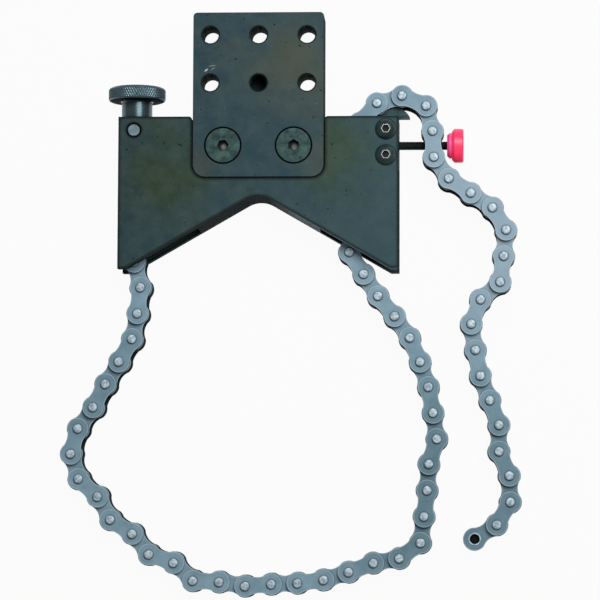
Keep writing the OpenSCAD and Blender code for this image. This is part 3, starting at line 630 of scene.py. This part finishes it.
def threaded_rod(start, end, radius, lead, depth, steps):
    """A threaded shank from start to end along the axis: thread rows at eight to a lead, that fade to the
    root over one lead at both ends, and a flat closing disc at each end."""
    rows = np.arange(start, end, lead / 8)
    fade = np.clip(np.minimum(rows - start, rows[-1] - rows) / lead, 0, 1)[:, None]
    root = radius - depth
    shank = root + (thread_radius(rows, steps, root, radius, lead) - root) * fade
    discs = np.zeros((1, steps))
    return turned(np.vstack([discs, shank, discs]), np.concatenate([rows[:1], rows, rows[-1:]]), steps)


rod_low, rod_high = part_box("draw_rod")
eye_r = (rod_high.x - rod_low.x) / 2
eye_y = rod_low.y + eye_r
eye_h, eye_hole, eye_thick = 0.0080, 0.00206, 0.0108
eye_steps = 72
sunk = 0.0006
shank = threaded_rod(start=eye_y + eye_h - sunk, end=rod_high.y, radius=0.0040, lead=0.00125, depth=0.00062,
                     steps=40)
rod_thread = surface("draw_rod_thread", (np.roll(shank, 2, axis=-1) + (rod_x, 0, mid_z))[None])


def eye_outline(steps):
    """The eye's outline at angle t: a circle below its hole, and above it the ray's end on a box with square
    shoulders, at the nearer of half width / |cos t| and height / |sin t|."""
    t = np.linspace(0, 2 * np.pi, steps, endpoint=False) + np.pi / steps
    box_reach = np.minimum(eye_r / np.abs(np.cos(t)), eye_h / np.abs(np.sin(t)))
    reach = np.where(np.sin(t) < 0, eye_r, box_reach)
    return np.stack([np.cos(t), np.sin(t)], axis=-1), reach[:, None]


way, reach = eye_outline(eye_steps)
front, back = eye_thick / 2, -eye_thick / 2
walls = [(reach, front), (eye_hole, front), (eye_hole, back), (reach, back)]
eye = np.stack([np.concatenate([way * r, np.full((eye_steps, 1), z)], axis=1) for r, z in walls])
eye = eye + (rod_x, eye_y, mid_z)
rod_eye = surface("draw_rod_eye", eye[None], wrap_rows=True)
rod_steel = bar_steel("rolled_rod_steel", dark=colour("#7c8990"), light=colour("#aab5bb"),
                      gloss=0.32, metallic=0.8, side_shade=0)
for piece in (rod_thread, rod_eye):
    piece.data.materials.append(rod_steel)
    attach(piece, "draw_rod")
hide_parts("draw_rod")


# Lock screw and its red knob.
# A black machine screw that passes through the locked link, with a moulded, glossy red head on its end.
# The red glows a little as painted light, though the knob is no lamp, and a pinker sheen is painted on the
# collar.

lock_low, lock_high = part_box("lock_screw")
lock_y = (lock_low.y + lock_high.y) / 2
lock_r = (lock_high.y - lock_low.y) / 2
lock = threaded_rod(start=lock_low.x, end=lock_high.x, radius=lock_r, lead=0.0007, depth=0.00018, steps=32)
lock_thread = surface("lock_screw_thread", (np.roll(lock, 1, axis=-1) + (0, lock_y, mid_z))[None])
lock_steel = screw_steel("black_machine_screw", base=colour("#0a0d0e"), worn=colour("#22282a"),
                         gloss=0.45, shine=0.12)
lock_thread.data.materials.append(lock_steel)
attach(lock_thread, "lock_screw")
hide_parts("lock_screw")

# Injection-moulded plastic: the pigment flows in faint clouds, and the skin has a slight peel, which is drawn
# at 0.6 mm. Its emission is painted light, a faint red glow.
red_plastic, tree, shader, place = empty_material("moulded_red_plastic")
flow = add(tree, "ShaderNodeTexNoise", {}, {"Vector": (place, "Object"), "Scale": per_mm(9), "Detail": 2.0})
tint = add(tree, "ShaderNodeMix", {"data_type": "RGBA"},
           {0: (flow, "Fac"), 6: colour("#ff2348"), 7: colour("#ff4a78")})
# A pinker sheen is painted on the thin collar.
knob_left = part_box("lock_knob")[0].x
spot = add(tree, "ShaderNodeSeparateXYZ", {}, {0: (place, "Object")})
collar = add(tree, "ShaderNodeMapRange", {},
             {"Value": (spot, "X"), "From Min": knob_left + 0.0030, "From Max": knob_left + 0.0016,
              "To Max": 0.8})
tint = add(tree, "ShaderNodeMix", {"data_type": "RGBA"}, {0: (collar, 0), 6: (tint, 2), 7: colour("#c868ac")})
peel = add(tree, "ShaderNodeTexNoise", {}, {"Vector": (place, "Object"), "Scale": per_mm(0.6), "Detail": 1.0})
bump = add(tree, "ShaderNodeBump", {}, {"Height": (peel, "Fac"), "Strength": 0.04, "Distance": 0.0002})
tree.links.new(tint.outputs[2], shader.inputs["Base Color"])
tree.links.new(bump.outputs[0], shader.inputs["Normal"])
shader.inputs["Roughness"].default_value = 0.34
shader.inputs["IOR"].default_value = 1.49
shader.inputs["Emission Color"].default_value = colour("#ff2a50")
shader.inputs["Emission Strength"].default_value = 0.32
dress("lock_knob", red_plastic)
ease_edges("lock_knob", 0.3)


# Roller chain.
# Waisted plates stamped from strip, tumbled smooth and blued, over bushes and loose rollers. Painted light
# makes it pale on its rims and near the lock, and painted shade darkens the bends, the sides, the inside and
# the gaps.

chain_steel, tree, shader, place = empty_material("blued_chain_steel")
at = (place, "Object")
handled = add(tree, "ShaderNodeTexNoise", {}, {"Vector": at, "Scale": per_mm(6), "Detail": 4.0})
tint = add(tree, "ShaderNodeMix", {"data_type": "RGBA"},
           {0: (handled, "Fac"), 6: colour("#638292"), 7: colour("#98b5c4")})

# A stretch is its middle in plan, its reach, its share and its tone.
spot = add(tree, "ShaderNodeSeparateXYZ", {}, {0: at})
plan = add(tree, "ShaderNodeCombineXYZ", {}, {"X": (spot, "X"), "Y": (spot, "Y")})
# The stretch near the lock is a pool of painted light, and the two at the bends are painted shade.
painted_light_near_lock = ((0.107, -0.011), 0.085, 0.55, "#a5b9c8")
painted_shade_far_bend = ((0.083, -0.145), 0.075, 0.55, "#4e6b76")
painted_shade_left_bend = ((-0.075, -0.099), 0.050, 0.28, "#4e6b76")
for middle, reach, share, tone in (painted_light_near_lock, painted_shade_far_bend, painted_shade_left_bend):
    away = add(tree, "ShaderNodeVectorMath", {"operation": "DISTANCE"}, {0: (plan, 0), 1: (*middle, 0)})
    soft = add(tree, "ShaderNodeMapRange", {"interpolation_type": "SMOOTHSTEP"},
               {"Value": (away, "Value"), "From Min": reach, "From Max": reach / 4, "To Max": share})
    tint = add(tree, "ShaderNodeMix", {"data_type": "RGBA"}, {0: (soft, 0), 6: (tint, 2), 7: colour(tone)})

# Flecks of wear, and rims painted pale as highlights. The flecks are finer on a real chain, and drawn at 0.9
# mm.
dust = add(tree, "ShaderNodeTexNoise", {}, {"Vector": at, "Scale": per_mm(0.9), "Detail": 3.0})
fleck = add(tree, "ShaderNodeMapRange", {},
            {"Value": (dust, "Fac"), "From Min": 0.62, "From Max": 0.8, "To Max": 0.4})
tint = add(tree, "ShaderNodeMix", {"data_type": "RGBA"}, {0: (fleck, 0), 6: (tint, 2), 7: colour("#a3b3bc")})
turn = add(tree, "ShaderNodeBevel", {"samples": 8}, {"Radius": 0.0011})
flat = add(tree, "ShaderNodeNewGeometry", {}, {})
agree = add(tree, "ShaderNodeVectorMath", {"operation": "DOT_PRODUCT"},
            {0: (turn, "Normal"), 1: (flat, "Normal")})
rim = add(tree, "ShaderNodeMapRange", {},
          {"Value": (agree, "Value"), "From Min": 0.99, "From Max": 0.90, "To Max": 0.60})
tint = add(tree, "ShaderNodeMix", {"data_type": "RGBA"}, {0: (rim, 0), 6: (tint, 2), 7: colour("#c0d0d8")})

# Sheared sides, and faces that look inwards from the plates, are painted near black as shade. Inwards is
# towards the chain's middle height, taken half way between the run over the guide and the links that sag
# furthest.
faces = add(tree, "ShaderNodeSeparateXYZ", {}, {0: (flat, "Normal")})
level = add(tree, "ShaderNodeMath", {"operation": "ABSOLUTE"}, {0: (faces, "Z")})
sheared = add(tree, "ShaderNodeMapRange", {},
              {"Value": (level, 0), "From Min": 0.5, "From Max": 0.15, "To Max": 0.85})
half_sag = (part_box("nose_run")[0].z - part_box("tail_16")[0].z) / 2
rise = add(tree, "ShaderNodeMath", {"operation": "SUBTRACT"}, {0: (spot, "Z"), 1: mid_z - half_sag})
outward = add(tree, "ShaderNodeMath", {"operation": "MULTIPLY"}, {0: (rise, 0), 1: (faces, "Z")})
inside = add(tree, "ShaderNodeMapRange", {},
             {"Value": (outward, 0), "From Min": 0.0018, "From Max": -0.0002, "To Max": 0.92})
painted_shade = add(tree, "ShaderNodeMath", {"operation": "MAXIMUM"}, {0: (sheared, 0), 1: (inside, 0)})
tint = add(tree, "ShaderNodeMix", {"data_type": "RGBA"}, {0: (painted_shade, 0), 6: (tint, 2), 7: colour("#0d1214")})
# Painted shade darkens the gaps and corners between parts.
corner = add(tree, "ShaderNodeAmbientOcclusion", {"samples": 8}, {"Distance": 0.0009})
gap_painted_shade = add(tree, "ShaderNodeMapRange", {},
            {"Value": (corner, "AO"), "From Min": 0.85, "From Max": 0.35, "To Max": 0.85})
tint = add(tree, "ShaderNodeMix", {"data_type": "RGBA"}, {0: (gap_painted_shade, 0), 6: (tint, 2), 7: colour("#12181b")})
gloss = add(tree, "ShaderNodeMapRange", {},
            {"Value": (dust, "Fac"), "From Min": 0.3, "From Max": 0.7, "To Min": 0.36, "To Max": 0.52})
gloss = add(tree, "ShaderNodeMath", {"operation": "MULTIPLY_ADD", "use_clamp": True},
            {0: (painted_shade, 0), 1: 0.5, 2: (gloss, 0)})
bump = add(tree, "ShaderNodeBump", {}, {"Height": (dust, "Fac"), "Strength": 0.06, "Distance": 0.0002})
tree.links.new(tint.outputs[2], shader.inputs["Base Color"])
tree.links.new(gloss.outputs[0], shader.inputs["Roughness"])
tree.links.new(bump.outputs[0], shader.inputs["Normal"])
shader.inputs["Specular IOR Level"].default_value = 0.04
body_of = {node: body for body, nodes in frame["record"]["behaviour"]["bodies"].items() for node in nodes}
chain = [node for node in frame["nodes"]
         if node.split("_")[0] in ("loop", "tail") or node in ("slot_run", "nose_run")]
for node in chain:
    dress(node, chain_steel)
    ease_edges(node, 0.2)


# Riveted pin ends.
# Each pin is hammered over outside its plates, which leaves a bright, slightly mushroomed head.
# A head sits on both ends of every pin, and moves with the outer link that holds the pin.

rivet_steel, tree, shader, place = empty_material("riveted_pin_steel")
struck = add(tree, "ShaderNodeTexNoise", {},
             {"Vector": (place, "Object"), "Scale": per_mm(1.4), "Detail": 3.0})
patch = add(tree, "ShaderNodeMapRange", {}, {"Value": (struck, "Fac"), "From Min": 0.35, "From Max": 0.65})
tint = add(tree, "ShaderNodeMix", {"data_type": "RGBA"},
           {0: (patch, 0), 6: colour("#879eab"), 7: colour("#cbdce6")})
flat = add(tree, "ShaderNodeNewGeometry", {}, {})
faces = add(tree, "ShaderNodeSeparateXYZ", {}, {0: (flat, "Normal")})
level = add(tree, "ShaderNodeMath", {"operation": "ABSOLUTE"}, {0: (faces, "Z")})
# Painted shade darkens the flanks of each head.
flank = add(tree, "ShaderNodeMapRange", {},
            {"Value": (level, 0), "From Min": 0.92, "From Max": 0.80, "To Max": 0.72})
tint = add(tree, "ShaderNodeMix", {"data_type": "RGBA"}, {0: (flank, 0), 6: (tint, 2), 7: colour("#2c3a41")})
bump = add(tree, "ShaderNodeBump", {}, {"Height": (struck, "Fac"), "Strength": 0.15, "Distance": 0.0002})
tree.links.new(tint.outputs[2], shader.inputs["Base Color"])
tree.links.new(bump.outputs[0], shader.inputs["Normal"])
shader.inputs["Metallic"].default_value = 0.15
shader.inputs["Roughness"].default_value = 0.5
shader.inputs["Specular IOR Level"].default_value = 0.3

pin_r, pin_apart = 0.0020, 0.0050
head_r = np.array([1.00, 1.13, 1.17, 1.00, 0.74, 0.0]) * pin_r
head_h = np.array([-0.80, -0.55, -0.32, 0.05, 0.15, 0.18]) / 1000


def pin_tops(node):
    """Centres of the pins whose flat ends are the node's highest points: the points at the top are
    grouped by nearness, and a group's centre is the middle of its box."""
    mesh = frame["nodes"][node].data
    points = np.empty(len(mesh.vertices) * 3, np.float32)
    mesh.vertices.foreach_get("co", points)
    points = points.reshape(-1, 3).astype(float)
    top = points[points[:, 2] > points[:, 2].max() - 1e-5]
    near = np.linalg.norm(top[:, None, :2] - top[None, :, :2], axis=-1) < pin_apart
    groups = [top[mask] for mask in np.unique(near, axis=0)]
    return np.array([(group.min(0) + group.max(0)) / 2 for group in groups])


# In the tail, the inner links have odd numbers and hold no pins.
head = turned(head_r, head_h, 28)
for node in chain:
    if node.startswith("tail") and int(node[-2:]) % 2 == 1:
        continue
    tops = pin_tops(node)
    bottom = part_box(node)[0].z
    heads = np.stack([head + top for top in tops] + [head * (1, 1, -1) + (*top[:2], bottom) for top in tops])
    rivets = surface("rivets_" + node, heads)
    rivets.data.materials.append(rivet_steel)
    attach(rivets, body_of[node])

# The last bush holds no pin. Its end is rubbed bright, and a black, dished plug inside it is painted shade.
# Both profiles are turned about the bush's axis, and stand on both of its ends.
last_low, last_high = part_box("tail_17")
last_centre = np.array([(low + high) / 2 for low, high in zip(last_low, last_high)])
held_pins = pin_tops("tail_16")
hinge = held_pins[np.argmin(np.linalg.norm(held_pins[:, :2] - last_centre[:2], axis=1))]
open_end = np.append(2 * last_centre[:2] - hinge[:2], last_centre[2])
to_top, to_bottom = (0, 0, (last_high.z - last_low.z) / 2), (1, 1, -1)
dish_r = np.array([0.0, 1.5, 1.95, 2.0, 2.45, 2.47, 1.9, 1.5, 0.0]) / 1000
dish_h = np.array([-0.90, -0.80, -0.30, 0.03, 0.03, -0.1, -0.40, -0.90, -1.0]) / 1000
dish = turned(dish_r, dish_h, 36) + to_top
lip_r = np.array([2.42, 2.60, 2.95, 3.10, 3.10, 2.42]) / 1000
lip_h = np.array([0.03, 0.14, 0.14, 0.03, -0.2, -0.2]) / 1000
lip = turned(lip_r, lip_h, 36) + to_top
bush_shade = surface("painted_shade_in_bush", np.stack([dish, dish * to_bottom]) + open_end)
bush_end = surface("open_bush_end", np.stack([lip, lip * to_bottom]) + open_end, wrap_rows=True)
bush_end.data.materials.append(rivet_steel)
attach(bush_end, body_of["tail_17"])
bush_shade_finish = patchy_finish("painted_bush_shade", patch=1.2, detail=3.0, dark="#020303", light="#0e1214",
                             rough=0.6, shine=0.1)
bush_shade.data.materials.append(bush_shade_finish)
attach(bush_shade, body_of["tail_17"])


# Floor, light and camera.
# The clamp lies on a plain white table under a broad soft light from the upper right, with an even dim
# surround. The camera looks almost straight down on the front face, from a little right and below.

scene = bpy.context.scene
span = 4.0
floor_z = min(cad_box[0][2], 0) - 0.0003
floor_corners = [(x * span, y * span, floor_z) for x, y in ((-1, -1), (1, -1), (1, 1), (-1, 1))]
floor_mesh = bpy.data.meshes.new("table")
floor_mesh.from_pydata(floor_corners, [], [(0, 1, 2, 3)])
floor = bpy.data.objects.new("table", floor_mesh)
scene.collection.objects.link(floor)

# Matt white board. Seen directly or in a reflection it is nearly pure white, with a faint shadow left on it.
table = bpy.data.materials.new("white_table")
table.use_nodes = True
tree = table.node_tree
shader = tree.nodes["Principled BSDF"]
shader.inputs["Base Color"].default_value = colour("#bababa")
shader.inputs["Roughness"].default_value = 0.9
path = add(tree, "ShaderNodeLightPath", {}, {})
seen = add(tree, "ShaderNodeMath", {"operation": "MAXIMUM"},
           {0: (path, "Is Camera Ray"), 1: (path, "Is Glossy Ray")})
seen = add(tree, "ShaderNodeMath", {"operation": "MAXIMUM"}, {0: (seen, 0), 1: (path, "Is Transmission Ray")})
share = add(tree, "ShaderNodeMath", {"operation": "MULTIPLY"}, {0: (seen, 0), 1: 0.95})
white = add(tree, "ShaderNodeEmission", {}, {"Color": (1, 1, 1, 1), "Strength": 1.0})
mixed = add(tree, "ShaderNodeMixShader", {}, {0: (share, 0), 1: (shader, 0), 2: (white, 0)})
tree.links.new(mixed.outputs[0], tree.nodes["Material Output"].inputs["Surface"])
floor_mesh.materials.append(table)

world = bpy.data.worlds.new("studio")
scene.world = world
world.use_nodes = True
surround = world.node_tree.nodes["Background"]
surround.inputs["Color"].default_value = (1, 1, 1, 1)
surround.inputs["Strength"].default_value = 0.2

lamp = bpy.data.lights.new("softbox", "AREA")
lamp.shape = "RECTANGLE"
lamp.size, lamp.size_y = 0.7, 0.6
lamp.energy = 9.3
softbox = bpy.data.objects.new("softbox", lamp)
scene.collection.objects.link(softbox)
softbox_at = Vector((0.30, 0.36, 0.92))
softbox_aim = Vector((0.02, -0.04, 0))
softbox.location = softbox_at
softbox.rotation_euler = (softbox_aim - softbox_at).to_track_quat("-Z", "Y").to_euler()

camera_at = Vector((0.093, -0.179, 1.480))
aim = Vector((0.020567, -0.052393, 0.030))
forward = (aim - camera_at).normalized()
right = forward.cross(Vector((0, 1, 0))).normalized()
up = right.cross(forward)
roll = 0.00343
right, up = math.cos(roll) * right + math.sin(roll) * up, math.cos(roll) * up - math.sin(roll) * right
lens = bpy.data.cameras.new("camera")
lens.sensor_fit = "HORIZONTAL"
lens.angle = math.radians(11.3246)
camera = bpy.data.objects.new("camera", lens)
scene.collection.objects.link(camera)
camera.matrix_world = Matrix((
    (right.x, up.x, -forward.x, camera_at.x), (right.y, up.y, -forward.y, camera_at.y),
    (right.z, up.z, -forward.z, camera_at.z), (0, 0, 0, 1)))
scene.camera = camera
scene.view_settings.view_transform = "Standard"
